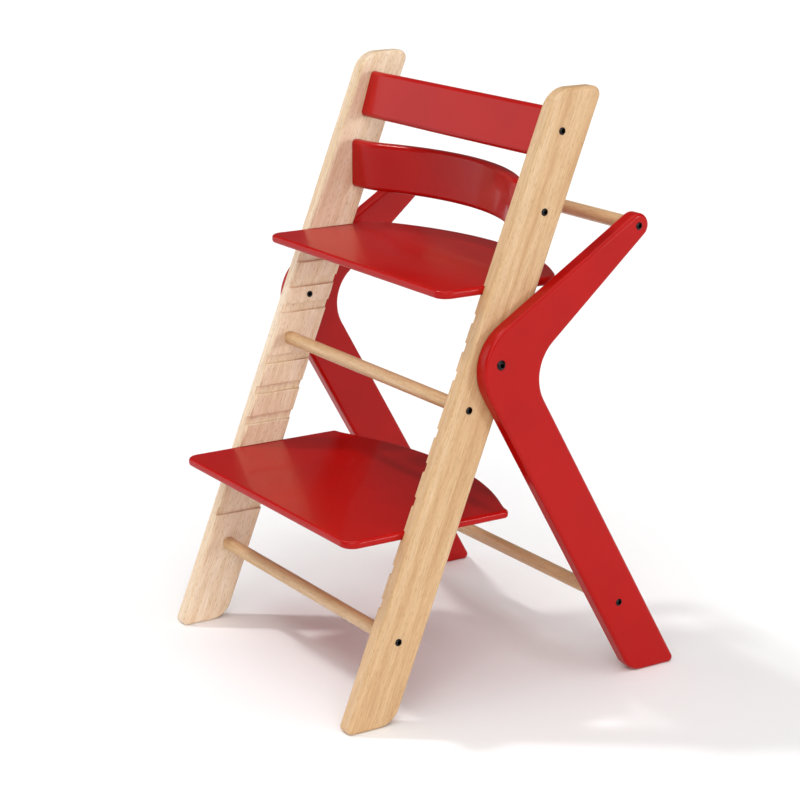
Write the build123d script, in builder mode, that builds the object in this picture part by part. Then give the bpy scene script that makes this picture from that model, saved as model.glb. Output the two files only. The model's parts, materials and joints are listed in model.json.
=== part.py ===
from build123d import *
import os
from math import cos, radians, sin, tan

# Grow-along baby high chair, in millimetres. X is across the chair, the sitter faces -Y, and Z is up.
# The origin is on the floor, in the middle of the chair's width and depth.
# Side views and plans are drawn from a datum: the line where the rails' front faces meet the floor.

# Overall frame
HEIGHT = 850.0
HEEL_Y = 548.0              # from the datum to the heel of the rear legs, before rounding
INNER_HALF_WIDTH = 230.0    # from the middle of the chair to the inner face of a rail
RAIL_THICKNESS = 25.0
LEG_THICKNESS = 24.0
PLANK_WIDTH = 72.0          # square across both the rails and the legs' lower arms
ARRIS = 5.0                 # rounding along the long edges of rails, legs and plates

# Side rails
RAIL_LEAN = 21.5            # degrees from upright
RAIL_TOE_RADIUS = 8.0
RAIL_HEEL_RADIUS = 36.0
RAIL_TOP_FRONT_RADIUS = 39.0
RAIL_TOP_REAR_RADIUS = 12.0

# Boomerang rear legs
LEG_LEAN = 29.4             # degrees from upright, lower arm
LEG_UPPER_FRONT_ANGLE = 31.9
LEG_UPPER_REAR_ANGLE = 41.0
LEG_TIP = (458.7, 656.1)    # middle of the rounded upper end, from the datum
LEG_TIP_RADIUS = 17.5
LEG_NOSE_RADIUS = 71.0
LEG_CROOK_RADIUS = 64.0
LEG_FOOT_FRONT_RADIUS = 34.0
LEG_HEEL_RADIUS = 7.0

# Grooves for the plates, in the inner faces of the rails
GROOVE_UPPER_TOP_Z = 585.0
GROOVE_UPPER_PITCH = 37.5
GROOVE_UPPER_COUNT = 4
GROOVE_LOWER_TOP_Z = 397.0
GROOVE_LOWER_PITCH = 45.0
GROOVE_LOWER_COUNT = 6
GROOVE_HEIGHT = 12.6
GROOVE_DEPTH = 6.8
GROOVE_LIP_RADIUS = 1.6

# Sliding plates
PLATE_THICKNESS = 12.0
PLATE_HALF_WIDTH = 236.5
PLATE_CORNER_RADIUS = 20.0
PLATE_ARRIS = 4.5
SEAT_Z = GROOVE_UPPER_TOP_Z
SEAT_FRONT_Y = 163.0
SEAT_REAR_Y = 420.5
SEAT_BOW_RADIUS = 440.0
SEAT_REAR_CORNER_RADIUS = 42.0
FOOTREST_Z = GROOVE_LOWER_TOP_Z - 3 * GROOVE_LOWER_PITCH
FOOTREST_FRONT_Y = 15.0
FOOTREST_REAR_Y = 332.0
FOOTREST_BOW_RADIUS = 488.0
FOOTREST_BOW_ANGLE = 23.0
FOOTREST_FLANK_LENGTH = 26.0
FOOTREST_FLARE_RADIUS = 56.0
FOOTREST_REAR_CORNER_RADIUS = 8.0

# Backrest slats
SLAT_THICKNESS = 18.0
UPPER_SLAT_CENTRE = (341.4, 787.4)
UPPER_SLAT_HEIGHT = 69.5
UPPER_SLAT_LEAN = 17.0
UPPER_SLAT_BOLT_RISE = 6.0  # from the slat's middle up to its bolts
LOWER_SLAT_CENTRE = (316.2, 685.0)
LOWER_SLAT_HEIGHT = 72.5
LOWER_SLAT_BOLT_RISE = 1.0
LOWER_SLAT_BOW_RADIUS = 365.0
LOWER_SLAT_BOW_ANGLE = 26.0
LOWER_SLAT_END_FLAT = 6.0
SLAT_ARRIS = 7.0
SLAT_END_ARRIS = 2.0

# Rungs
RUNG_DIAMETER = 20.0
RUNG_END_CHAMFER = 1.0
MIDDLE_FRONT_RUNG = (196.2, 427.6)
LOWER_FRONT_RUNG = (83.5, 119.4)
UPPER_REAR_RUNG = LEG_TIP
LOWER_REAR_RUNG = (440.0, 112.6)

# Fasteners
BOLT_DIAMETER = 6.0
BOLT_HEAD_DIAMETER = 10.5
BOLT_HEAD_HEIGHT = 3.3
BOLT_KEY_WIDTH = 4.0
BOLT_HOLE_DIAMETER = 6.4
SLAT_BOLT_REACH = 38.0      # beyond the rail, into the slat
RUNG_BOLT_REACH = 20.0      # beyond the rail or leg, into the rung
LEG_BOLT = (231.3, 491.0)
LEG_BOLT_DIAMETER = 8.0
LEG_BOLT_HEAD_DIAMETER = 14.0
LEG_BOLT_HEAD_HEIGHT = 4.4
LEG_BOLT_KEY_WIDTH = 5.0
LEG_BOLT_HOLE_DIAMETER = 8.4
LEG_BOLT_LENGTH = 40.0
SLEEVE_NUT_DIAMETER = 10.0
SLEEVE_NUT_LENGTH = 18.0
SLEEVE_NUT_FLOOR = 5.0      # thickness of the closed end, with its hexagon key hole
BARREL_NUT_DIAMETER = 10.0
BARREL_NUT_DEPTH = 14.0     # of the blind hole in the slat's rear face
BARREL_NUT_RECESS = 0.5
BARREL_NUT_SLOT = 1.5
BARREL_NUT_INSET = 30.0     # from the slat's end to the nut's middle
INSERT_DIAMETER = 9.5
INSERT_LENGTH = 22.0
THREAD_CLEARANCE = 0.1
BOLT_END_ROOM = 2.0
BOLT_TIP_CHAMFER = 0.8
BOLT_RIM = 0.6
BOLT_KEY_DEPTH = 0.6        # share of the head's height
LEG_DOWELS = ((250.0, 525.0), (240.0, 455.0))
LEG_DOWEL_DIAMETER = 10.0
LEG_DOWEL_DEPTH = 14.0      # into the leg, and the same into the rail
DOWEL_CHAMFER = 0.8
SLAT_DOWEL_DIAMETER = 6.0
SLAT_DOWEL_DEPTH = 12.0
SLAT_DOWEL_OFFSET = 22.0    # below the slat bolt, along the slat's height

# Worked-out places
RAIL_OUTER_X = INNER_HALF_WIDTH + RAIL_THICKNESS
LEG_OUTER_X = RAIL_OUTER_X + LEG_THICKNESS


def corner_inset(radius, lean):
    """How far rounding a foot's sharp outer corner draws it in along Y."""
    return radius * ((1 + sin(radians(lean))) / cos(radians(lean)) - 1)


TOE_INSET = corner_inset(RAIL_TOE_RADIUS, RAIL_LEAN)
HEEL_INSET = corner_inset(LEG_HEEL_RADIUS, LEG_LEAN)
DATUM_Y = -(TOE_INSET + HEEL_Y - HEEL_INSET) / 2

GROOVES = [GROOVE_UPPER_TOP_Z - i * GROOVE_UPPER_PITCH for i in range(GROOVE_UPPER_COUNT)]
GROOVES += [GROOVE_LOWER_TOP_Z - i * GROOVE_LOWER_PITCH for i in range(GROOVE_LOWER_COUNT)]


def side_plane(x):
    """Side view at x: local X runs back from the datum, local Y up, and the normal points to +X."""
    return Plane(origin=(x, DATUM_Y, 0), x_dir=(0, 1, 0), z_dir=(1, 0, 0))


def plan_plane(z):
    """Plan at height z: local Y runs back from the datum."""
    return Plane(origin=(0, DATUM_Y, z))


def axle_plane(x, centre):
    """Plane through a cross-wise axis at centre: local X runs outwards along it, local Y up."""
    return Plane(origin=(x, DATUM_Y + centre[0], centre[1]), x_dir=(1, 0, 0), z_dir=(0, -1, 0))


def rail_y(z):
    """Distance from the datum to a rail's front face at height z."""
    return z * tan(radians(RAIL_LEAN))


def meet(p, p_angle, q, q_angle):
    """Where the line through p at p_angle meets the line through q at q_angle, angles in degrees."""
    p_dir = Vector(cos(radians(p_angle)), sin(radians(p_angle)))
    q_dir = Vector(cos(radians(q_angle)), sin(radians(q_angle)))
    gap = Vector(*q) - Vector(*p)
    reach = (gap.X * q_dir.Y - gap.Y * q_dir.X) / (p_dir.X * q_dir.Y - p_dir.Y * q_dir.X)
    return Vector(*p) + p_dir * reach


def polar(centre, radius, angle):
    """The point at a radius and an angle in degrees about a centre."""
    return (centre[0] + radius * cos(radians(angle)), centre[1] + radius * sin(radians(angle)))


def round_corners(outline, corners):
    """Round each corner of a sketch, given as its place and its radius."""
    for corner, radius in corners:
        nearest = outline.vertices().sort_by(lambda vertex: (Vector(vertex) - Vector(*corner)).length)[0]
        fillet(nearest, radius)


def slat_dowel(bolt, lean):
    """Side-view place of the locating dowel below a slat's bolt."""
    return polar(bolt, SLAT_DOWEL_OFFSET, -90 - lean)


def finish(part, name):
    """Label a finished piece and write it."""
    part.label = name
    export_step(part, f"parts/{name}.step")


def mirrored(part):
    """The left-hand twin of a right-hand piece."""
    with BuildPart() as twin:
        add(part)
        mirror(about=Plane.YZ, mode=Mode.REPLACE)
    return twin.part


os.makedirs("parts", exist_ok=True)

UPPER_SLAT_BOLT = polar(UPPER_SLAT_CENTRE, UPPER_SLAT_BOLT_RISE, 90 - UPPER_SLAT_LEAN)
LOWER_SLAT_BOLT = polar(LOWER_SLAT_CENTRE, LOWER_SLAT_BOLT_RISE, 90)

# Side rails: one leaning plank each, cut level at both ends
with BuildPart() as rail_right:
    with BuildSketch(side_plane(INNER_HALF_WIDTH)) as rail_outline:
        across = PLANK_WIDTH / cos(radians(RAIL_LEAN))
        with BuildLine():
            Polyline(
                (0, 0), (across, 0), (rail_y(HEIGHT) + across, HEIGHT), (rail_y(HEIGHT), HEIGHT), close=True
            )
        make_face()
        rail_corners = (
            ((0, 0), RAIL_TOE_RADIUS),
            ((across, 0), RAIL_HEEL_RADIUS),
            ((rail_y(HEIGHT), HEIGHT), RAIL_TOP_FRONT_RADIUS),
            ((rail_y(HEIGHT) + across, HEIGHT), RAIL_TOP_REAR_RADIUS),
        )
        round_corners(rail_outline, rail_corners)
    extrude(amount=RAIL_THICKNESS)
    fillet(rail_right.edges().filter_by(Axis.X, reverse=True), ARRIS)
    # A groove's section, with eased lips, swept straight through from front to rear
    for z in GROOVES:
        with BuildSketch(Plane(origin=(INNER_HALF_WIDTH, 0, z), x_dir=(1, 0, 0), z_dir=(0, -1, 0))):
            with BuildLine():
                mouth = GROOVE_HEIGHT / 2 + GROOVE_LIP_RADIUS
                lower_lip = CenterArc((GROOVE_LIP_RADIUS, -mouth), GROOVE_LIP_RADIUS, 180, -90)
                upper_lip = CenterArc((GROOVE_LIP_RADIUS, mouth), GROOVE_LIP_RADIUS, 180, 90)
                Polyline(
                    lower_lip @ 1,
                    (GROOVE_DEPTH, -GROOVE_HEIGHT / 2),
                    (GROOVE_DEPTH, GROOVE_HEIGHT / 2),
                    upper_lip @ 1,
                )
                Line(lower_lip @ 0, upper_lip @ 0)
            make_face()
        extrude(amount=HEEL_Y, both=True, mode=Mode.SUBTRACT)
    # Holes right through for the slat and rung bolts, and for the leg bolt and its sleeve nut
    with BuildSketch(side_plane(INNER_HALF_WIDTH)):
        with Locations(UPPER_SLAT_BOLT, LOWER_SLAT_BOLT, MIDDLE_FRONT_RUNG, LOWER_FRONT_RUNG):
            Circle(BOLT_HOLE_DIAMETER / 2)
        with Locations(LEG_BOLT):
            Circle(LEG_BOLT_HOLE_DIAMETER / 2)
    extrude(amount=RAIL_THICKNESS, mode=Mode.SUBTRACT)
    with BuildSketch(side_plane(INNER_HALF_WIDTH)):
        with Locations(LEG_BOLT):
            Circle(SLEEVE_NUT_DIAMETER / 2)
    extrude(amount=SLEEVE_NUT_LENGTH, mode=Mode.SUBTRACT)
    # Blind holes for the locating dowels
    with BuildSketch(side_plane(RAIL_OUTER_X)):
        with Locations(*LEG_DOWELS):
            Circle(LEG_DOWEL_DIAMETER / 2)
    extrude(amount=-LEG_DOWEL_DEPTH, mode=Mode.SUBTRACT)
    with BuildSketch(side_plane(INNER_HALF_WIDTH)):
        with Locations(slat_dowel(UPPER_SLAT_BOLT, UPPER_SLAT_LEAN), slat_dowel(LOWER_SLAT_BOLT, 0)):
            Circle(SLAT_DOWEL_DIAMETER / 2)
    extrude(amount=SLAT_DOWEL_DEPTH, mode=Mode.SUBTRACT)
finish(rail_right.part, "rail_right")
finish(mirrored(rail_right.part), "rail_left")

# Boomerang rear legs, on the outer faces of the rails
with BuildPart() as rear_leg_right:
    with BuildSketch(side_plane(RAIL_OUTER_X)) as leg_outline:
        foot_rear = (HEEL_Y, 0)
        foot_front = (HEEL_Y - PLANK_WIDTH / cos(radians(LEG_LEAN)), 0)
        tip_front = polar(LEG_TIP, LEG_TIP_RADIUS, 90 + LEG_UPPER_FRONT_ANGLE)
        tip_rear = polar(LEG_TIP, LEG_TIP_RADIUS, LEG_UPPER_REAR_ANGLE - 90)
        nose = meet(foot_front, 90 + LEG_LEAN, tip_front, LEG_UPPER_FRONT_ANGLE)
        crook = meet(foot_rear, 90 + LEG_LEAN, tip_rear, LEG_UPPER_REAR_ANGLE)
        with BuildLine():
            Polyline(foot_rear, foot_front, nose, tip_front)
            ThreePointArc(tip_front, polar(LEG_TIP, LEG_TIP_RADIUS, LEG_UPPER_FRONT_ANGLE), tip_rear)
            Polyline(tip_rear, crook, foot_rear)
        make_face()
        leg_corners = (
            (nose, LEG_NOSE_RADIUS),
            (crook, LEG_CROOK_RADIUS),
            (foot_front, LEG_FOOT_FRONT_RADIUS),
            (foot_rear, LEG_HEEL_RADIUS),
        )
        round_corners(leg_outline, leg_corners)
    extrude(amount=LEG_THICKNESS)
    fillet(rear_leg_right.edges().filter_by(Axis.X, reverse=True), ARRIS)
    with BuildSketch(side_plane(RAIL_OUTER_X)):
        with Locations(UPPER_REAR_RUNG, LOWER_REAR_RUNG):
            Circle(BOLT_HOLE_DIAMETER / 2)
        with Locations(LEG_BOLT):
            Circle(LEG_BOLT_HOLE_DIAMETER / 2)
    extrude(amount=LEG_THICKNESS, mode=Mode.SUBTRACT)
    with BuildSketch(side_plane(RAIL_OUTER_X)):
        with Locations(*LEG_DOWELS):
            Circle(LEG_DOWEL_DIAMETER / 2)
    extrude(amount=LEG_DOWEL_DEPTH, mode=Mode.SUBTRACT)
finish(rear_leg_right.part, "rear_leg_right")
finish(mirrored(rear_leg_right.part), "rear_leg_left")


# Seat plate: straight sides, and a rear edge bowed in plan
with BuildPart() as seat_plate:
    with BuildSketch(plan_plane(SEAT_Z - PLATE_THICKNESS / 2)) as seat_outline:
        with BuildLine():
            bow_drop = SEAT_BOW_RADIUS - (SEAT_BOW_RADIUS**2 - PLATE_HALF_WIDTH**2) ** 0.5
            rear_corner = (PLATE_HALF_WIDTH, SEAT_REAR_Y - bow_drop)
            Polyline((0, SEAT_FRONT_Y), (PLATE_HALF_WIDTH, SEAT_FRONT_Y), rear_corner)
            RadiusArc(rear_corner, (0, SEAT_REAR_Y), -SEAT_BOW_RADIUS)
            mirror(about=Plane.YZ)
        make_face()
        fillet(seat_outline.vertices().group_by(Axis.Y)[0], PLATE_CORNER_RADIUS)
        fillet(seat_outline.vertices().group_by(Axis.Y)[-1], SEAT_REAR_CORNER_RADIUS)
    extrude(amount=PLATE_THICKNESS)
    fillet(seat_plate.edges().filter_by(Axis.Z, reverse=True), PLATE_ARRIS)
finish(seat_plate.part, "seat_plate")

# Footrest plate: straight sides, and a rear edge that flares from small corners into a shallow bow
with BuildPart() as footrest_plate:
    with BuildSketch(plan_plane(FOOTREST_Z - PLATE_THICKNESS / 2)) as footrest_outline:
        with BuildLine():
            bow = JernArc((0, FOOTREST_REAR_Y), (1, 0), FOOTREST_BOW_RADIUS, -FOOTREST_BOW_ANGLE)
            flank = PolarLine(bow @ 1, FOOTREST_FLANK_LENGTH, -FOOTREST_BOW_ANGLE)
            flare = JernArc(flank @ 1, flank % 1, FOOTREST_FLARE_RADIUS, FOOTREST_BOW_ANGLE)
            Polyline(flare @ 1, ((flare @ 1).X, FOOTREST_FRONT_Y), (0, FOOTREST_FRONT_Y))
            mirror(about=Plane.YZ)
        make_face()
        sides = footrest_outline.vertices().group_by(Axis.X)
        fillet([sides[0].sort_by(Axis.Y)[-1], sides[-1].sort_by(Axis.Y)[-1]], FOOTREST_REAR_CORNER_RADIUS)
        fillet(footrest_outline.vertices().group_by(Axis.Y)[0], PLATE_CORNER_RADIUS)
    extrude(amount=PLATE_THICKNESS)
    fillet(footrest_plate.edges().filter_by(Axis.Z, reverse=True), PLATE_ARRIS)
finish(footrest_plate.part, "footrest_plate")


def slat_nut_plane(bolt, lean):
    """Plane on a slat's rear face, over the right-hand barrel nut, with its normal pointing out."""
    middle = Plane(
        origin=(INNER_HALF_WIDTH - BARREL_NUT_INSET, DATUM_Y + bolt[0], bolt[1]),
        x_dir=(1, 0, 0),
        z_dir=(0, cos(radians(lean)), -sin(radians(lean))),
    )
    return middle.offset(SLAT_THICKNESS / 2)


def slat_end_holes(bolt, lean):
    """Cutter for the bolt, dowel and barrel nut holes at both ends of a slat."""
    nut_plane = slat_nut_plane(bolt, lean)
    with BuildPart() as cutter:
        with BuildSketch(side_plane(INNER_HALF_WIDTH)):
            with Locations(bolt):
                Circle(BOLT_HOLE_DIAMETER / 2)
        extrude(amount=-SLAT_BOLT_REACH - BOLT_END_ROOM)
        with BuildSketch(side_plane(INNER_HALF_WIDTH)):
            with Locations(slat_dowel(bolt, lean)):
                Circle(SLAT_DOWEL_DIAMETER / 2)
        extrude(amount=-SLAT_DOWEL_DEPTH)
        with BuildSketch(nut_plane.offset(SLAT_THICKNESS)):
            Circle(BARREL_NUT_DIAMETER / 2)
        extrude(amount=-SLAT_THICKNESS - BARREL_NUT_DEPTH)
        mirror(about=Plane.YZ)
    return cutter.part


# Upper backrest slat: a straight board that leans back
with BuildPart() as upper_backrest_slat:
    with BuildSketch(side_plane(0)):
        with Locations(UPPER_SLAT_CENTRE):
            Rectangle(SLAT_THICKNESS, UPPER_SLAT_HEIGHT, rotation=-UPPER_SLAT_LEAN)
    extrude(amount=INNER_HALF_WIDTH, both=True)
    fillet(upper_backrest_slat.edges().filter_by(Axis.X), SLAT_ARRIS)
    fillet(upper_backrest_slat.faces().filter_by(Axis.X).edges(), SLAT_END_ARRIS)
    add(slat_end_holes(UPPER_SLAT_BOLT, UPPER_SLAT_LEAN), mode=Mode.SUBTRACT)
finish(upper_backrest_slat.part, "upper_backrest_slat")

# Lower backrest slat: bent back between flat ends, so that it is hollow towards the sitter
with BuildPart() as lower_backrest_slat:
    with BuildSketch(plan_plane(LOWER_SLAT_CENTRE[1] - LOWER_SLAT_HEIGHT / 2)):
        with BuildLine():
            bent_half_width = INNER_HALF_WIDTH - LOWER_SLAT_END_FLAT
            end_radius = bent_half_width / sin(radians(LOWER_SLAT_BOW_ANGLE)) - LOWER_SLAT_BOW_RADIUS
            front_y = LOWER_SLAT_CENTRE[0] - SLAT_THICKNESS / 2
            end = Line((INNER_HALF_WIDTH, front_y), (bent_half_width, front_y))
            ease = JernArc(end @ 1, (-1, 0), end_radius, -LOWER_SLAT_BOW_ANGLE)
            JernArc(ease @ 1, ease % 1, LOWER_SLAT_BOW_RADIUS, LOWER_SLAT_BOW_ANGLE)
            mirror(about=Plane.YZ)
            offset(amount=SLAT_THICKNESS, side=Side.RIGHT)
        make_face()
    extrude(amount=LOWER_SLAT_HEIGHT)
    level_edges = lower_backrest_slat.edges().filter_by(Axis.Z, reverse=True)
    fillet([e for e in level_edges if abs(e.center().X) < INNER_HALF_WIDTH - 1], SLAT_ARRIS)
    fillet(lower_backrest_slat.faces().filter_by(Axis.X).edges(), SLAT_END_ARRIS)
    add(slat_end_holes(LOWER_SLAT_BOLT, 0), mode=Mode.SUBTRACT)
finish(lower_backrest_slat.part, "lower_backrest_slat")


def build_rung(centre, half_length, name):
    """A round rung with eased ends, bored at both ends for its threaded inserts."""
    with BuildPart() as rung:
        with BuildSketch(side_plane(0)):
            with Locations(centre):
                Circle(RUNG_DIAMETER / 2)
        extrude(amount=half_length, both=True)
        chamfer(rung.edges().filter_by(GeomType.CIRCLE), RUNG_END_CHAMFER)
        for x, depth in ((half_length, -INSERT_LENGTH), (-half_length, INSERT_LENGTH)):
            with BuildSketch(side_plane(x)):
                with Locations(centre):
                    Circle(INSERT_DIAMETER / 2)
            extrude(amount=depth, mode=Mode.SUBTRACT)
    finish(rung.part, name)


def build_inserts(centre, half_length, name):
    """The pair of threaded sleeves in a rung's ends."""
    with BuildPart() as inserts:
        with BuildSketch(side_plane(half_length)):
            with Locations(centre):
                Circle(INSERT_DIAMETER / 2)
                Circle(BOLT_DIAMETER / 2 + THREAD_CLEARANCE, mode=Mode.SUBTRACT)
        extrude(amount=-INSERT_LENGTH)
        mirror(about=Plane.YZ)
    finish(inserts.part, name)


def build_bolts(centre, face_x, length, name, diameter, head_diameter, head_height, key_width):
    """A pair of button-head bolts, one each side, seated on the outer faces at face_x."""
    seat = axle_plane(face_x, centre)
    with BuildPart() as bolts:
        with BuildSketch(seat):
            with BuildLine():
                Polyline(
                    (0, head_diameter / 2),
                    (0, diameter / 2),
                    (BOLT_TIP_CHAMFER - length, diameter / 2),
                    (-length, diameter / 2 - BOLT_TIP_CHAMFER),
                    (-length, 0),
                    (head_height, 0),
                )
                # A dome centred on the bolt's axis, over a short upright rim
                rim = Line((0, head_diameter / 2), (BOLT_RIM, head_diameter / 2))
                dome_height = head_height - BOLT_RIM
                dome_radius = (dome_height**2 + (head_diameter / 2) ** 2) / (2 * dome_height)
                RadiusArc(rim @ 1, (head_height, 0), dome_radius)
            make_face()
        revolve(axis=Axis(seat.origin, seat.x_dir))
        with BuildSketch(side_plane(face_x + head_height)):
            with Locations(centre):
                RegularPolygon(key_width / 2, 6, major_radius=False)
        extrude(amount=-BOLT_KEY_DEPTH * head_height, mode=Mode.SUBTRACT)
        mirror(about=Plane.YZ)
    finish(bolts.part, name)


def build_barrel_nuts(bolt, lean, name):
    """The pair of cross nuts in a slat, slotted at the end that shows on its rear face."""
    nut_plane = slat_nut_plane(bolt, lean)
    with BuildPart() as nuts:
        with BuildSketch(nut_plane.offset(-BARREL_NUT_RECESS)):
            Circle(BARREL_NUT_DIAMETER / 2)
        extrude(amount=BARREL_NUT_RECESS - BARREL_NUT_DEPTH)
        with BuildSketch(nut_plane.offset(-BARREL_NUT_RECESS)):
            Rectangle(2 * BARREL_NUT_DIAMETER, BARREL_NUT_SLOT)
        extrude(amount=-BARREL_NUT_SLOT, mode=Mode.SUBTRACT)
        with BuildSketch(side_plane(INNER_HALF_WIDTH)):
            with Locations(bolt):
                Circle(BOLT_DIAMETER / 2 + THREAD_CLEARANCE)
        extrude(amount=-2 * BARREL_NUT_INSET, mode=Mode.SUBTRACT)
        mirror(about=Plane.YZ)
    finish(nuts.part, name)


def build_dowels(places, x, depths, diameter, name):
    """Wooden dowels at places on both sides, reaching from x by a depth inwards and a depth outwards."""
    with BuildPart() as dowels:
        with BuildSketch(side_plane(x - depths[0])):
            with Locations(*places):
                Circle(diameter / 2)
        extrude(amount=depths[0] + depths[1])
        chamfer(dowels.edges().filter_by(GeomType.CIRCLE), DOWEL_CHAMFER)
        mirror(about=Plane.YZ)
    finish(dowels.part, name)


# Rungs, with the inserts and bolts that hold them: name, middle, face that the ends meet, bolts' face
RUNGS = (
    ("middle", "front_rung", MIDDLE_FRONT_RUNG, INNER_HALF_WIDTH, RAIL_OUTER_X),
    ("lower", "front_rung", LOWER_FRONT_RUNG, INNER_HALF_WIDTH, RAIL_OUTER_X),
    ("upper", "rear_rung", UPPER_REAR_RUNG, RAIL_OUTER_X, LEG_OUTER_X),
    ("lower", "rear_rung", LOWER_REAR_RUNG, RAIL_OUTER_X, LEG_OUTER_X),
)
M6_HEAD = (BOLT_DIAMETER, BOLT_HEAD_DIAMETER, BOLT_HEAD_HEIGHT, BOLT_KEY_WIDTH)
for level, kind, centre, end_x, face_x in RUNGS:
    build_rung(centre, end_x, f"{level}_{kind}")
    build_inserts(centre, end_x, f"{level}_{kind}_inserts")
    build_bolts(centre, face_x, face_x - end_x + RUNG_BOLT_REACH, f"{level}_{kind}_bolts", *M6_HEAD)

# Slat fasteners
SLATS = (("upper", UPPER_SLAT_BOLT, UPPER_SLAT_LEAN), ("lower", LOWER_SLAT_BOLT, 0.0))
for level, bolt, lean in SLATS:
    build_bolts(bolt, RAIL_OUTER_X, RAIL_THICKNESS + SLAT_BOLT_REACH, f"{level}_slat_bolts", *M6_HEAD)
    build_barrel_nuts(bolt, lean, f"{level}_slat_barrel_nuts")
slat_dowel_places = [slat_dowel(bolt, lean) for level, bolt, lean in SLATS]
build_dowels(
    slat_dowel_places, INNER_HALF_WIDTH, (SLAT_DOWEL_DEPTH, SLAT_DOWEL_DEPTH), SLAT_DOWEL_DIAMETER,
    "slat_locating_dowels",
)

# Leg joints: a larger bolt through the leg and rail, its sleeve nut, and two hidden dowels
M8_HEAD = (LEG_BOLT_DIAMETER, LEG_BOLT_HEAD_DIAMETER, LEG_BOLT_HEAD_HEIGHT, LEG_BOLT_KEY_WIDTH)
build_bolts(LEG_BOLT, LEG_OUTER_X, LEG_BOLT_LENGTH, "leg_bolts", *M8_HEAD)
build_dowels(
    LEG_DOWELS, RAIL_OUTER_X, (LEG_DOWEL_DEPTH, LEG_DOWEL_DEPTH), LEG_DOWEL_DIAMETER, "leg_locating_dowels"
)
with BuildPart() as leg_sleeve_nuts:
    with BuildSketch(side_plane(INNER_HALF_WIDTH)):
        with Locations(LEG_BOLT):
            Circle(SLEEVE_NUT_DIAMETER / 2)
            Circle(LEG_BOLT_DIAMETER / 2 + THREAD_CLEARANCE, mode=Mode.SUBTRACT)
    extrude(amount=SLEEVE_NUT_LENGTH)
    with BuildSketch(side_plane(INNER_HALF_WIDTH)):
        with Locations(LEG_BOLT):
            Circle(LEG_BOLT_DIAMETER / 2 + THREAD_CLEARANCE)
            RegularPolygon(LEG_BOLT_KEY_WIDTH / 2, 6, major_radius=False, mode=Mode.SUBTRACT)
    extrude(amount=SLEEVE_NUT_FLOOR)
    mirror(about=Plane.YZ)
finish(leg_sleeve_nuts.part, "leg_sleeve_nuts")
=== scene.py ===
"""Looks for a grow-along baby high chair: beech rails and rungs, red lacquered boards, black steel bolts.

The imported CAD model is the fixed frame. Each class below makes one sub-assembly: it models the pieces, lets
them ride on the CAD bodies in the place of the CAD nodes, and lays on the finish.
Sizes are in millimetres where a name or a docstring says so, and otherwise in metres.
"""

import json
import logging
import math
from dataclasses import dataclass, field, replace
from enum import Enum
from typing import Any, Iterable, Optional, Sequence

import bmesh
import bpy
from mathutils import Matrix, Vector

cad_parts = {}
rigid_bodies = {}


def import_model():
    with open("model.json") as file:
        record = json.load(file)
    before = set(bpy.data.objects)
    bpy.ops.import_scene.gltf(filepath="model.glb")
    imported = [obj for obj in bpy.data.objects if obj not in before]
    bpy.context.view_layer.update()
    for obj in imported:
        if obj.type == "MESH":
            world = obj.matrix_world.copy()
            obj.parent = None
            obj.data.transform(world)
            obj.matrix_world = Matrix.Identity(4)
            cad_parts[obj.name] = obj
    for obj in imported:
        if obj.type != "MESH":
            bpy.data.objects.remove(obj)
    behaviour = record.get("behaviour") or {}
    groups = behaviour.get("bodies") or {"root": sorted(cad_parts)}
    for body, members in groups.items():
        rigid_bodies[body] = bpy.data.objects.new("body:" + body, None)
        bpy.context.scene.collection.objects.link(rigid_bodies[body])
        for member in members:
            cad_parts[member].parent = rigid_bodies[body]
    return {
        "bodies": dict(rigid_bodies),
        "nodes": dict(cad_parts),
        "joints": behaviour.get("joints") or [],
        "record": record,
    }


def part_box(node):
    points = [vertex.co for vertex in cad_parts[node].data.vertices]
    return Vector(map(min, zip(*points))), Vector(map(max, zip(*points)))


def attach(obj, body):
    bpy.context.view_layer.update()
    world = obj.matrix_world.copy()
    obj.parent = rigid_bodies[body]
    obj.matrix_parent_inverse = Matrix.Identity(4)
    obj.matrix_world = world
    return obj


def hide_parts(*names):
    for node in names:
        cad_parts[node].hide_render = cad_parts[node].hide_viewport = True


LOG = logging.getLogger("high_chair")
MM = 0.001
TOLERANCE = 0.1 * MM


class Side(Enum):
    """The two sides of the chair, with the sign of X on each."""

    LEFT = -1
    RIGHT = 1

    @property
    def tag(self) -> str:
        """The word used in piece names."""
        return self.name.lower()


def linear(hex_colour: str) -> tuple[float, float, float, float]:
    """Turn an sRGB hex colour into a linear colour.

    Args:
        hex_colour: Six hex digits after a hash sign.

    Returns:
        Red, green, blue and an alpha of 1.
    """
    channels = [int(hex_colour[i : i + 2], 16) / 255 for i in (1, 3, 5)]
    curve = [c / 12.92 if c <= 0.04045 else ((c + 0.055) / 1.055) ** 2.4 for c in channels]
    return (curve[0], curve[1], curve[2], 1.0)


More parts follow.
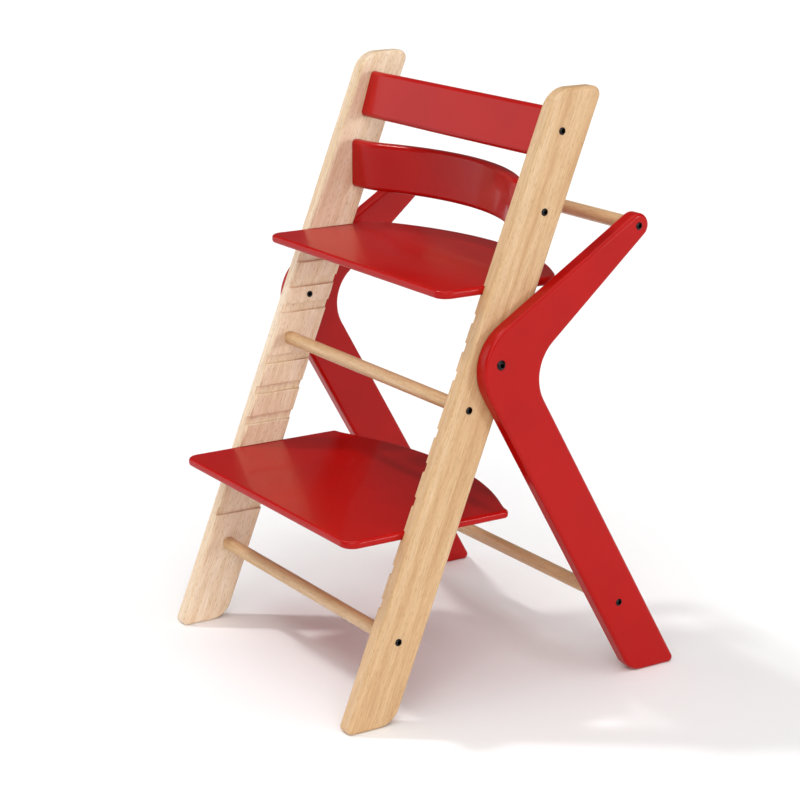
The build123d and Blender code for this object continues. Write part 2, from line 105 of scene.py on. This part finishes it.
@dataclass
class NodeTree:
    """A material being built, node by node."""

    name: str
    material: bpy.types.Material = field(init=False)

    def __post_init__(self) -> None:
        """Create the material with an empty node tree."""
        self.material = bpy.data.materials.new(self.name)
        self.material.use_nodes = True
        self.material.node_tree.nodes.clear()

    def add(
        self,
        kind: str,
        settings: Optional[dict[str, Any]] = None,
        values: Optional[dict[Any, Any]] = None,
        links: Optional[dict[Any, bpy.types.NodeSocket]] = None,
    ) -> bpy.types.Node:
        """Add one node.

        Args:
            kind: Blender's type name for the node.
            settings: Attributes of the node itself.
            values: Fixed values by input socket.
            links: Output sockets to link, by input socket.

        Returns:
            The new node.
        """
        node = self.material.node_tree.nodes.new(kind)
        for key, value in (settings or {}).items():
            setattr(node, key, value)
        for key, value in (values or {}).items():
            node.inputs[key].default_value = value
        for key, socket in (links or {}).items():
            self.material.node_tree.links.new(socket, node.inputs[key])
        return node

    def ramp(self, source: bpy.types.NodeSocket, stops: Sequence[tuple[float, str]]) -> bpy.types.NodeSocket:
        """Map a grey value to colours.

        Args:
            source: The grey value.
            stops: Positions and hex colours, in order.

        Returns:
            The colour socket.
        """
        node = self.add("ShaderNodeValToRGB", links={"Fac": source})
        elements = node.color_ramp.elements
        elements[0].position, elements[0].color = stops[0][0], linear(stops[0][1])
        elements[1].position, elements[1].color = stops[-1][0], linear(stops[-1][1])
        for position, colour in stops[1:-1]:
            elements.new(position).color = linear(colour)
        return node.outputs["Color"]

    def mix(
        self,
        blend: str,
        share: Any,
        first: bpy.types.NodeSocket,
        second: Any,
    ) -> bpy.types.NodeSocket:
        """Mix two colours.

        Args:
            blend: Blender's name for the blend mode.
            share: How much of the second colour, as a number or a socket.
            first: The first colour.
            second: The second colour, as a socket or a linear colour.

        Returns:
            The mixed colour socket.
        """
        node = self.add("ShaderNodeMix", {"data_type": "RGBA", "blend_type": blend}, links={6: first})
        for socket, value in ((0, share), (7, second)):
            if isinstance(value, bpy.types.NodeSocket):
                self.material.node_tree.links.new(value, node.inputs[socket])
            else:
                node.inputs[socket].default_value = value
        return node.outputs[2]

    def output(self, shader: bpy.types.Node) -> bpy.types.Material:
        """Connect the surface shader and return the finished material."""
        self.add("ShaderNodeOutputMaterial", links={"Surface": shader.outputs["BSDF"]})
        return self.material


@dataclass(frozen=True)
class Beech:
    """Planed solid beech under clear satin lacquer: pale tan, with faint bands, fine fibre and flecks."""

    name: str
    turn: float
    lengthwise: int
    offset: tuple[float, float, float]
    pale: str = "#DCBC94"
    mid: str = "#D5B184"
    dark: str = "#CAA172"
    fleck: str = "#A87C50"
    band_mm: tuple[float, float] = (15.0, 320.0)
    fibre_mm: tuple[float, float] = (1.5, 34.0)
    fleck_mm: tuple[float, float] = (2.4, 13.0)
    roughness: tuple[float, float] = (0.36, 0.5)

    def build(self) -> bpy.types.Material:
        """Build the material.

        Returns:
            The beech material, its grain along one local axis.
        """
        tree = NodeTree(self.name)
        coords = tree.add("ShaderNodeTexCoord")
        place = tree.add(
            "ShaderNodeMapping",
            values={"Rotation": (self.turn, 0.0, 0.0), "Location": self.offset},
            links={"Vector": coords.outputs["Object"]},
        )

        def stretched(size_mm: tuple[float, float]) -> bpy.types.NodeSocket:
            """Coordinates on which a pattern of unit size comes out that wide and long."""
            scale = [1 / (size_mm[0] * MM)] * 3
            scale[self.lengthwise] = 1 / (size_mm[1] * MM)
            mapping = tree.add(
                "ShaderNodeMapping", values={"Scale": scale}, links={"Vector": place.outputs["Vector"]}
            )
            return mapping.outputs["Vector"]

        # Growth bands: broad, faint, and drawn out along the board
        bands = tree.add(
            "ShaderNodeTexNoise",
            values={"Scale": 1.0, "Detail": 3.0, "Roughness": 0.5, "Distortion": 0.5},
            links={"Vector": stretched(self.band_mm)},
        )
        colour = tree.ramp(bands.outputs["Fac"], ((0.3, self.dark), (0.48, self.mid), (0.66, self.pale)))
        # Fibre, a hair wide in the wood, drawn coarse enough here to show
        fibre = tree.add(
            "ShaderNodeTexNoise",
            values={"Scale": 1.0, "Detail": 3.0, "Roughness": 0.65},
            links={"Vector": stretched(self.fibre_mm)},
        )
        fibre_tint = tree.ramp(fibre.outputs["Fac"], ((0.3, "#D2B99E"), (0.68, "#FFFFFF")))
        colour = tree.mix("MULTIPLY", 0.6, colour, fibre_tint)
        # The short brown flecks that mark beech
        flecks = tree.add(
            "ShaderNodeTexVoronoi",
            {"feature": "F1"},
            {"Scale": 1.0, "Randomness": 1.0},
            {"Vector": stretched(self.fleck_mm)},
        )
        fleck_mask = tree.add(
            "ShaderNodeMapRange",
            values={"From Min": 0.14, "From Max": 0.3, "To Min": 0.5, "To Max": 0.0},
            links={"Value": flecks.outputs["Distance"]},
        )
        colour = tree.mix("MIX", fleck_mask.outputs["Result"], colour, linear(self.fleck))
        sheen = tree.add(
            "ShaderNodeMapRange",
            values={"To Min": self.roughness[0], "To Max": self.roughness[1]},
            links={"Value": fibre.outputs["Fac"]},
        )
        bump = tree.add(
            "ShaderNodeBump",
            values={"Strength": 0.15, "Distance": 0.0002},
            links={"Height": fibre.outputs["Fac"]},
        )
        shader = tree.add(
            "ShaderNodeBsdfPrincipled",
            values={"IOR": 1.5, "Specular IOR Level": 0.4, "Coat Weight": 0.2, "Coat Roughness": 0.25},
            links={
                "Base Color": colour,
                "Roughness": sheen.outputs["Result"],
                "Normal": bump.outputs["Normal"],
            },
        )
        return tree.output(shader)


@dataclass(frozen=True)
class RedLacquer:
    """Sprayed gloss lacquer over sanded plywood: an even deep red with a faint orange-peel ripple."""

    name: str
    colour: str = "#AF0B07"
    deep: str = "#A80A06"
    cloud_mm: float = 90.0
    peel_mm: float = 2.6
    roughness: float = 0.32

    def build(self) -> bpy.types.Material:
        """Build the material.

        Returns:
            The red lacquer material.
        """
        tree = NodeTree(self.name)
        coords = tree.add("ShaderNodeTexCoord")
        cloud = tree.add(
            "ShaderNodeTexNoise",
            values={"Scale": 1 / (self.cloud_mm * MM), "Detail": 2.0},
            links={"Vector": coords.outputs["Object"]},
        )
        colour = tree.ramp(cloud.outputs["Fac"], ((0.3, self.deep), (0.65, self.colour)))
        peel = tree.add(
            "ShaderNodeTexNoise",
            values={"Scale": 1 / (self.peel_mm * MM), "Detail": 1.0},
            links={"Vector": coords.outputs["Object"]},
        )
        bump = tree.add(
            "ShaderNodeBump",
            values={"Strength": 0.04, "Distance": 0.0002},
            links={"Height": peel.outputs["Fac"]},
        )
        shader = tree.add(
            "ShaderNodeBsdfPrincipled",
            values={
                "Roughness": self.roughness,
                "IOR": 1.5,
                "Specular IOR Level": 0.1,
                "Coat Weight": 0.18,
                "Coat Roughness": 0.08,
            },
            links={"Base Color": colour, "Normal": bump.outputs["Normal"]},
        )
        return tree.output(shader)


@dataclass(frozen=True)
class PlatedSteel:
    """Turned steel under a thin plating: black and glossy on bolts, bright on nuts and inserts."""

    name: str
    colour: str
    metallic: float
    roughness: float
    mark_mm: float = 3.0

    def build(self) -> bpy.types.Material:
        """Build the material.

        Returns:
            The plated steel material, its roughness varied by faint handling marks.
        """
        tree = NodeTree(self.name)
        coords = tree.add("ShaderNodeTexCoord")
        marks = tree.add(
            "ShaderNodeTexNoise",
            values={"Scale": 1 / (self.mark_mm * MM), "Detail": 3.0},
            links={"Vector": coords.outputs["Object"]},
        )
        rough = tree.add(
            "ShaderNodeMapRange",
            values={"To Min": self.roughness * 0.8, "To Max": self.roughness * 1.25},
            links={"Value": marks.outputs["Fac"]},
        )
        shader = tree.add(
            "ShaderNodeBsdfPrincipled",
            values={"Base Color": linear(self.colour), "Metallic": self.metallic},
            links={"Roughness": rough.outputs["Result"]},
        )
        return tree.output(shader)


@dataclass
class Bench:
    """Where meshes become pieces: each is smoothed, dressed, and put in the place of its CAD node."""

    frame: dict[str, Any]
    crease_deg: float = 38.0

    def node_mesh(self, node: str) -> bmesh.types.BMesh:
        """Copy a CAD node's mesh, with its triangles welded.

        Args:
            node: The CAD node.

        Returns:
            The welded copy.
        """
        mesh = bmesh.new()
        mesh.from_mesh(self.frame["nodes"][node].data)
        bmesh.ops.remove_doubles(mesh, verts=mesh.verts, dist=0.01 * MM)
        bmesh.ops.dissolve_limit(
            mesh, angle_limit=math.radians(0.05), verts=mesh.verts, edges=mesh.edges, delimit={"NORMAL"}
        )
        return mesh

    def finish(self, mesh: bmesh.types.BMesh, node: str, material: bpy.types.Material) -> bpy.types.Object:
        """Turn a mesh into the piece that stands for a CAD node.

        Args:
            mesh: The modelled mesh, freed here.
            node: The CAD node that it replaces.
            material: The finish.

        Returns:
            The piece.
        """
        data = bpy.data.meshes.new(f"{node}_surface")
        mesh.to_mesh(data)
        mesh.free()
        data.polygons.foreach_set("use_smooth", [True] * len(data.polygons))
        data.set_sharp_from_angle(angle=math.radians(self.crease_deg))
        data.materials.append(material)
        piece = bpy.data.objects.new(f"{node}_surface", data)
        bpy.context.scene.collection.objects.link(piece)
        # Shade the arrises as round, and the flat faces between them as flat
        piece.modifiers.new("flat_faces_stay_flat", "WEIGHTED_NORMAL").keep_sharp = True
        members = self.frame["record"]["behaviour"]["bodies"]
        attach(piece, next(body for body, nodes in members.items() if node in nodes))
        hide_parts(node)
        LOG.info("built %s in %s", node, material.name)
        return piece


def round_edges(
    mesh: bmesh.types.BMesh, edges: Iterable[bmesh.types.BMEdge], radius: float, segments: int
) -> None:
    """Round edges of a mesh.

    Args:
        mesh: The mesh.
        edges: The edges to round.
        radius: The rounding's radius.
        segments: How many strips it gets.
    """
    bmesh.ops.bevel(
        mesh,
        geom=list(edges),
        offset=radius,
        offset_type="OFFSET",
        segments=segments,
        profile=0.5,
        affect="EDGES",
        material=-1,
    )


def grow_rings(
    mesh: bmesh.types.BMesh, rings: Sequence[tuple[float, float]], segments: int
) -> bmesh.types.BMFace:
    """Grow a turned shape along +Z, ring by ring, from a disc.

    Args:
        mesh: The mesh to add to.
        rings: Height and radius of each ring, from the bottom up.
        segments: How many corners a ring has.

    Returns:
        The cap on the last ring.
    """
    height, radius = rings[0]
    disc = bmesh.ops.create_circle(
        mesh, cap_ends=True, segments=segments, radius=radius, matrix=Matrix.Translation((0, 0, height))
    )
    cap = disc["verts"][0].link_faces[0]
    for next_height, next_radius in rings[1:]:
        cap = bmesh.ops.extrude_face_region(mesh, geom=[cap])["geom"]
        cap = next(item for item in cap if isinstance(item, bmesh.types.BMFace))
        bmesh.ops.translate(mesh, verts=cap.verts, vec=(0, 0, next_height - height))
        bmesh.ops.scale(mesh, verts=cap.verts, vec=(next_radius / radius, next_radius / radius, 1))
        height, radius = next_height, next_radius
    return cap


def sink_hexagon(mesh: bmesh.types.BMesh, cap: bmesh.types.BMFace, across_flats: float, depth: float) -> None:
    """Sink a hexagon key hole into the middle of a round cap.

    Args:
        mesh: The mesh.
        cap: The round face, with a multiple of six corners.
        across_flats: Width of the key.
        depth: Depth of the hole.
    """
    sixth = math.radians(60)
    hole = bmesh.ops.extrude_face_region(mesh, geom=[cap])["geom"]
    hole = next(item for item in hole if isinstance(item, bmesh.types.BMFace))
    for vert in hole.verts:
        angle = math.atan2(vert.co.y, vert.co.x)
        reach = across_flats / 2 / math.cos(angle % sixth - sixth / 2)
        vert.co.x, vert.co.y = reach * math.cos(angle), reach * math.sin(angle)
    floor = bmesh.ops.extrude_face_region(mesh, geom=[hole])["geom"]
    floor = next(item for item in floor if isinstance(item, bmesh.types.BMFace))
    bmesh.ops.translate(mesh, verts=floor.verts, vec=(0, 0, -depth))


def lay_across(mesh: bmesh.types.BMesh, side: Side, x: float, y: float, z: float) -> None:
    """Turn a shape made along +Z to point out to one side, move it into place and clean it.

    Args:
        mesh: The mesh, its outer face at height zero.
        side: The side that +Z turns towards.
        x: Distance of the outer face from the chair's middle plane.
        y: Place of the axis, front to back.
        z: Height of the axis.
    """
    turn = Matrix.Rotation(math.radians(90) * side.value, 4, "Y")
    bmesh.ops.transform(mesh, matrix=Matrix.Translation((side.value * x, y, z)) @ turn, verts=mesh.verts)
    bmesh.ops.recalc_face_normals(mesh, faces=mesh.faces)


def join(parts: Iterable[bmesh.types.BMesh]) -> bmesh.types.BMesh:
    """Gather separate solids into one mesh, and free them."""
    whole = bmesh.new()
    for part in parts:
        shell = bpy.data.meshes.new("shell")
        part.to_mesh(shell)
        part.free()
        whole.from_mesh(shell)
        bpy.data.meshes.remove(shell)
    return whole


@dataclass
class SideRails:
    """The two leaning beech planks, grooved inside for the plates, each from a board of its own."""

    bench: Bench
    lean_deg: float = 21.5
    board_shift: float = 0.37

    def wood(self, side: Side) -> bpy.types.Material:
        """The beech of one rail, with its grain along the leaning plank; the left rail's beech is painted
        paler, as painted light for the brighter light on its inner face.
        """
        shift = (self.board_shift * side.value, 0.0, 0.11)
        board = Beech(f"lacquered_beech_rail_{side.tag}", math.radians(self.lean_deg), 2, shift)
        if side is Side.LEFT:
            # Painted light: the left rail gets a paler copy of the beech, which stands in for the brighter
            # light that falls on its inner face
            board = replace(board, pale="#F0DFC8", mid="#EBD5B8", dark="#E2C8A4")
        return board.build()

    def build(self) -> None:
        """Make and dress both rails."""
        for side in Side:
            node = f"rail_{side.tag}"
            self.bench.finish(self.bench.node_mesh(node), node, self.wood(side))


@dataclass
class RearLegs:
    """The two boomerang legs, red lacquered all over."""

    bench: Bench
    lacquer: bpy.types.Material

    def build(self) -> None:
        """Make and dress both legs."""
        for side in Side:
            node = f"rear_leg_{side.tag}"
            self.bench.finish(self.bench.node_mesh(node), node, self.lacquer)


@dataclass
class SlidingPlates:
    """The seat and the footrest: flat boards with rounded corners and bowed rears. Sizes in mm."""

    bench: Bench
    lacquer: bpy.types.Material
    arris: float = 4.5
    front_corner: float = 20.0
    seat_rear_corner: float = 42.0
    seat_bow: float = 440.0
    footrest_rear_corner: float = 8.0
    footrest_bow: float = 488.0
    footrest_bow_deg: float = 23.0
    footrest_flank: float = 26.0
    footrest_flare: float = 56.0
    arris_segments: int = 6
    corner_segments: int = 14
    bow_segments: int = 36
    flare_segments: int = 10

    def half_outline(self, mesh: bmesh.types.BMesh, node: str) -> tuple[Any, Any]:
        """Start a plate's outline at the middle of its rear edge.

        Args:
            mesh: The mesh to draw in.
            node: The plate's CAD node, whose box gives the place.

        Returns:
            The CAD box's lowest and highest corners.
        """
        low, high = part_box(node)
        mesh.verts.new((0.0, high[1], low[2]))
        return low, high

    def turn_end(self, mesh: bmesh.types.BMesh, centre: Vector, angle: float, steps: int) -> None:
        """Spin the outline's last vertex about a centre, to draw an arc.

        Args:
            mesh: The mesh being drawn in.
            centre: The arc's centre.
            angle: The turn about Z, in radians.
            steps: How many straight strokes the arc gets.
        """
        mesh.verts.ensure_lookup_table()
        end = [mesh.verts[-1]]
        bmesh.ops.spin(mesh, geom=end, cent=centre, axis=(0, 0, 1), angle=angle, steps=steps, use_merge=False)
        mesh.verts.ensure_lookup_table()

    def line_end(self, mesh: bmesh.types.BMesh, end: Vector) -> None:
        """Draw a straight stroke from the outline's last vertex to a point."""
        mesh.verts.ensure_lookup_table()
        last = mesh.verts[-1]
        mesh.edges.new((last, mesh.verts.new(end)))

    def front(self, mesh: bmesh.types.BMesh, low: Any, high: Any) -> None:
        """Draw the side, the front corner and the front edge from the outline's last vertex.

        Args:
            mesh: The mesh being drawn in.
            low: The CAD box's lowest corner.
            high: The CAD box's highest corner.
        """
        corner = self.front_corner * MM
        self.line_end(mesh, Vector((high[0], low[1] + corner, low[2])))
        centre = Vector((high[0] - corner, low[1] + corner, low[2]))
        self.turn_end(mesh, centre, -math.pi / 2, self.corner_segments)
        self.line_end(mesh, Vector((0.0, low[1], low[2])))

    def thicken(self, mesh: bmesh.types.BMesh, thickness: float) -> None:
        """Mirror the half outline, and give it its thickness and its arrises.

        Args:
            mesh: The mesh that holds the right half of the outline.
            thickness: The plate's thickness, in metres.
        """
        half = mesh.verts[:] + mesh.edges[:]
        bmesh.ops.mirror(mesh, geom=half, axis="X", merge_dist=TOLERANCE, matrix=Matrix.Identity(4))
        bmesh.ops.remove_doubles(mesh, verts=mesh.verts, dist=TOLERANCE)
        bmesh.ops.contextual_create(mesh, geom=mesh.edges)
        bmesh.ops.recalc_face_normals(mesh, faces=mesh.faces)
        raised = bmesh.ops.extrude_face_region(mesh, geom=mesh.faces[:])["geom"]
        lifted = [item for item in raised if isinstance(item, bmesh.types.BMVert)]
        bmesh.ops.translate(mesh, verts=lifted, vec=(0, 0, thickness))
        bmesh.ops.recalc_face_normals(mesh, faces=mesh.faces)
        rims = [e for e in mesh.edges if abs(e.verts[0].co.z - e.verts[1].co.z) < TOLERANCE]
        round_edges(mesh, rims, self.arris * MM, self.arris_segments)

    def seat(self) -> bmesh.types.BMesh:
        """Model the seat plate, whose rear corners run into its bow.

        Returns:
            Its mesh.
        """
        mesh = bmesh.new()
        low, high = self.half_outline(mesh, "seat_plate")
        bow, corner = self.seat_bow * MM, self.seat_rear_corner * MM
        centre = Vector((0.0, high[1] - bow, low[2]))
        turn = math.asin((high[0] - corner) / (bow - corner))
        self.turn_end(mesh, centre, -turn, self.bow_segments)
        inner = centre + Vector((math.sin(turn), math.cos(turn), 0.0)) * (bow - corner)
        self.turn_end(mesh, inner, turn - math.pi / 2, self.corner_segments)
        self.front(mesh, low, high)
        self.thicken(mesh, high[2] - low[2])
        return mesh

    def footrest(self) -> bmesh.types.BMesh:
        """Model the footrest plate, whose bowed rear edge flares out into its small corners.

        Returns:
            Its mesh.
        """
        mesh = bmesh.new()
        low, high = self.half_outline(mesh, "footrest_plate")
        sweep = math.radians(self.footrest_bow_deg)
        centre = Vector((0.0, high[1] - self.footrest_bow * MM, low[2]))
        self.turn_end(mesh, centre, -sweep, self.bow_segments)
        along = Vector((math.cos(sweep), -math.sin(sweep), 0.0))
        flank_end = mesh.verts[-1].co + along * self.footrest_flank * MM
        self.line_end(mesh, flank_end)
        outward = Vector((math.sin(sweep), math.cos(sweep), 0.0))
        flare = flank_end + outward * self.footrest_flare * MM
        # The corner's circle touches the flare's circle, and the side of the plate
        corner = self.footrest_rear_corner * MM
        reach = self.footrest_flare * MM + corner
        across = high[0] - corner - flare.x
        down = math.sqrt(reach**2 - across**2)
        touch = math.atan2(-down, across)
        self.turn_end(mesh, flare, touch - math.atan2(-outward.y, -outward.x), self.flare_segments)
        self.turn_end(mesh, flare + Vector((across, -down, 0.0)), -touch - math.pi, self.corner_segments)
        self.front(mesh, low, high)
        self.thicken(mesh, high[2] - low[2])
        return mesh

    def build(self) -> None:
        """Make and dress both plates."""
        self.bench.finish(self.seat(), "seat_plate", self.lacquer)
        self.bench.finish(self.footrest(), "footrest_plate", self.lacquer)


@dataclass
class Backrest:
    """The straight upper slat and the bowed lower slat, red lacquered, with bored ends."""

    bench: Bench
    lacquer: bpy.types.Material

    def build(self) -> None:
        """Make and dress both slats."""
        for level in ("upper", "lower"):
            node = f"{level}_backrest_slat"
            self.bench.finish(self.bench.node_mesh(node), node, self.lacquer)


@dataclass
class Rungs:
    """Four turned beech rungs with eased ends, and the zinc inserts in them. Sizes in mm."""

    bench: Bench
    wood: bpy.types.Material
    zinc: bpy.types.Material
    names: tuple[str, ...] = ("middle_front_rung", "lower_front_rung", "upper_rear_rung", "lower_rear_rung")
    end_ease: float = 1.0
    end_segments: int = 4
    segments: int = 64
    insert_segments: int = 48
    bore: float = 6.2
    insert_length: float = 22.0

    def rung(self, node: str) -> bmesh.types.BMesh:
        """Model one rung from end to end of its CAD box.

        Args:
            node: The rung's CAD node.

        Returns:
            Its mesh.
        """
        low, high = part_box(node)
        radius = (high[2] - low[2]) / 2
        length = high[0] - low[0]
        mesh = bmesh.new()
        grow_rings(mesh, ((-length, radius), (0.0, radius)), self.segments)
        ends = [e for e in mesh.edges if abs(e.verts[0].co.z - e.verts[1].co.z) < TOLERANCE]
        round_edges(mesh, ends, self.end_ease * MM, self.end_segments)
        lay_across(mesh, Side.RIGHT, high[0], (low[1] + high[1]) / 2, (low[2] + high[2]) / 2)
        return mesh

    def inserts(self, node: str) -> bmesh.types.BMesh:
        """Model the pair of threaded sleeves in a rung's ends.

        Args:
            node: The inserts' CAD node.

        Returns:
            Their mesh.
        """
        low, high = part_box(node)
        radius = (high[2] - low[2]) / 2
        rings = ((-self.insert_length * MM, radius), (0.0, radius))
        pair = []
        for side in Side:
            mesh = bmesh.new()
            cap = grow_rings(mesh, rings, self.insert_segments)
            sink_hexagon(mesh, cap, self.bore * MM, self.insert_length * MM / 2)
            lay_across(mesh, side, high[0], (low[1] + high[1]) / 2, (low[2] + high[2]) / 2)
            pair.append(mesh)
        return join(pair)

    def build(self) -> None:
        """Make and dress the rungs and their inserts."""
        for name in self.names:
            self.bench.finish(self.rung(name), name, self.wood)
            self.bench.finish(self.inserts(f"{name}_inserts"), f"{name}_inserts", self.zinc)


@dataclass(frozen=True)
class ButtonHead:
    """The sizes of a button-head bolt, in mm; the key hole's depth and the point's are shares."""

    head: float
    height: float
    key: float
    shank: float
    rim: float = 0.6
    key_land: float = 0.35
    key_depth: float = 0.62
    point: float = 0.25


@dataclass
class Bolts:
    """Black button-head bolts with hexagon key holes, in pairs that face outwards."""

    bench: Bench
    black: bpy.types.Material
    small: ButtonHead = ButtonHead(head=10.5, height=3.3, key=4.0, shank=6.0)
    large: ButtonHead = ButtonHead(head=14.0, height=4.4, key=5.0, shank=8.0)
    segments: int = 60
    dome_rings: int = 8

    def bolt(self, form: ButtonHead, length: float) -> bmesh.types.BMesh:
        """Model one bolt along +Z, with the top of its head at height zero.

        Args:
            form: Its sizes.
            length: From the tip to the top of the head, in metres.

        Returns:
            Its mesh.
        """
        mesh = bmesh.new()
        head, shank = form.head / 2 * MM, form.shank / 2 * MM
        bottom = -form.height * MM
        lip = form.key * MM / math.sqrt(3) + form.key_land * MM
        dome = form.height * MM - form.rim * MM
        sphere = (dome**2 + head**2) / (2 * dome)
        rings = [(-length, shank * (1 - form.point)), (-length + shank * form.point, shank)]
        rings += [(bottom, shank), (bottom, head), (bottom + form.rim * MM, head)]
        for step in range(1, self.dome_rings + 1):
            radius = head + (lip - head) * step / self.dome_rings
            rings.append((math.sqrt(sphere**2 - radius**2) - sphere, radius))
        cap = grow_rings(mesh, rings, self.segments)
        sink_hexagon(mesh, cap, form.key * MM, form.key_depth * form.height * MM)
        return mesh

    def build(self) -> None:
        """Make and dress every bolt."""
        nodes = [entry["node"] for entry in self.bench.frame["record"]["subparts"]]
        for node in [name for name in nodes if name.endswith("_bolts")]:
            form = self.large if node == "leg_bolts" else self.small
            low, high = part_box(node)
            inner = min(abs(v.co.x) for v in self.bench.frame["nodes"][node].data.vertices)
            pair = []
            for side in Side:
                mesh = self.bolt(form, high[0] - inner)
                lay_across(mesh, side, high[0], (low[1] + high[1]) / 2, (low[2] + high[2]) / 2)
                pair.append(mesh)
            self.bench.finish(join(pair), node, self.black)


@dataclass
class HiddenHardware:
    """The slats' barrel nuts, the legs' sleeve nuts, and the beech locating dowels."""

    bench: Bench
    zinc: bpy.types.Material
    black: bpy.types.Material
    wood: bpy.types.Material

    def build(self) -> None:
        """Make and dress the nuts and dowels, which keep the outlines of their CAD nodes."""
        finishes = {
            "upper_slat_barrel_nuts": self.zinc,
            "lower_slat_barrel_nuts": self.zinc,
            "leg_sleeve_nuts": self.black,
            "slat_locating_dowels": self.wood,
            "leg_locating_dowels": self.wood,
        }
        for node, material in finishes.items():
            mesh = self.bench.node_mesh(node)
            self.bench.finish(mesh, node, material)


@dataclass(frozen=True)
class Lamp:
    """One studio light that shines on the chair from far off."""

    name: str
    azimuth: float
    elevation: float
    strength: float
    spread_deg: float


@dataclass
class Studio:
    """A pale floor, a white surround, and soft lights."""

    azimuth_deg: float = 57.43
    elevation_deg: float = 14.905
    distance: float = 3.2717
    aim: tuple[float, float, float] = (-0.0003, -0.0088, 0.4101)
    lens_mm: float = 101.37
    shift: tuple[float, float] = (-0.0121, -0.0310)
    surround: float = 0.12
    lamps: tuple[Lamp, ...] = (
        Lamp("key_lamp", -57.0, 55.0, 0.85, 5.0),
        Lamp("overhead_lamp", 60.0, 75.0, 1.8, 80.0),
        Lamp("side_lamp", 123.0, 5.0, 0.8, 14.0),
        Lamp("front_lamp", -50.0, 8.0, 0.55, 42.0),
        Lamp("fill_lamp", 56.0, 28.0, 1.25, 50.0),
    )

    @staticmethod
    def towards(azimuth: float, elevation: float) -> Vector:
        """The direction from the chair to a place round it, both angles in degrees."""
        a, e = math.radians(azimuth), math.radians(elevation)
        return Vector((math.sin(a) * math.cos(e), -math.cos(a) * math.cos(e), math.sin(e)))

    def add_camera(self) -> None:
        """Create the camera and make it the scene's."""
        data = bpy.data.cameras.new("studio_camera")
        data.lens = self.lens_mm
        data.shift_x, data.shift_y = self.shift
        camera = bpy.data.objects.new("studio_camera", data)
        back = self.towards(self.azimuth_deg, self.elevation_deg)
        camera.rotation_mode = "QUATERNION"
        camera.location = Vector(self.aim) + back * self.distance
        camera.rotation_quaternion = (-back).to_track_quat("-Z", "Y")
        bpy.context.scene.collection.objects.link(camera)
        bpy.context.scene.camera = camera

    def add_lamp(self, lamp: Lamp) -> None:
        """Hang one far light that faces the chair."""
        data = bpy.data.lights.new(lamp.name, "SUN")
        data.energy = lamp.strength
        data.angle = math.radians(lamp.spread_deg)
        light = bpy.data.objects.new(lamp.name, data)
        back = self.towards(lamp.azimuth, lamp.elevation)
        light.rotation_mode = "QUATERNION"
        light.location = back * self.distance
        light.rotation_quaternion = (-back).to_track_quat("-Z", "Y")
        bpy.context.scene.collection.objects.link(light)

    def add_floor(self) -> None:
        """Lay the plain pale floor."""
        mesh = bmesh.new()
        bmesh.ops.create_grid(mesh, x_segments=1, y_segments=1, size=60.0)
        data = bpy.data.meshes.new("studio_floor")
        mesh.to_mesh(data)
        mesh.free()
        floor = bpy.data.objects.new("studio_floor", data)
        bpy.context.scene.collection.objects.link(floor)
        tree = NodeTree("painted_studio_floor")
        values = {"Base Color": linear("#FAFAFA"), "Roughness": 0.95, "Specular IOR Level": 0.0}
        shader = tree.add("ShaderNodeBsdfPrincipled", values=values)
        data.materials.append(tree.output(shader))

    def add_surround(self) -> None:
        """Surround the scene with white, which lights the chair only gently."""
        world = bpy.data.worlds.new("studio_surround")
        world.use_nodes = True
        nodes, links = world.node_tree.nodes, world.node_tree.links
        nodes["Background"].inputs["Color"].default_value = linear("#FFFFFF")
        seen = nodes.new("ShaderNodeLightPath")
        level = nodes.new("ShaderNodeMapRange")
        level.inputs["To Min"].default_value = self.surround
        level.inputs["To Max"].default_value = 1.0
        links.new(seen.outputs["Is Camera Ray"], level.inputs["Value"])
        links.new(level.outputs["Result"], nodes["Background"].inputs["Strength"])
        bpy.context.scene.world = world

    def build(self) -> None:
        """Set up the camera, the floor, the surround and the lights."""
        self.add_camera()
        self.add_floor()
        self.add_surround()
        for lamp in self.lamps:
            self.add_lamp(lamp)
        bpy.context.scene.view_settings.view_transform = "Standard"


def main() -> None:
    """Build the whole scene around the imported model."""
    logging.basicConfig(level=logging.INFO, format="%(message)s")
    bench = Bench(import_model())
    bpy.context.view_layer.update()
    Studio().build()
    lacquer = RedLacquer("red_lacquered_plywood").build()
    rung_wood = Beech("lacquered_beech_rung", 0.0, 0, (0.05, 0.02, 0.0)).build()
    black = PlatedSteel("black_plated_steel", "#08080A", 0.5, 0.2).build()
    zinc = PlatedSteel("bright_zinc_plated_steel", "#B9BAB6", 1.0, 0.32).build()
    SideRails(bench).build()
    RearLegs(bench, lacquer).build()
    SlidingPlates(bench, lacquer).build()
    Backrest(bench, lacquer).build()
    Rungs(bench, rung_wood, zinc).build()
    Bolts(bench, black).build()
    HiddenHardware(bench, zinc, black, rung_wood).build()


if __name__ == "__main__":
    main()
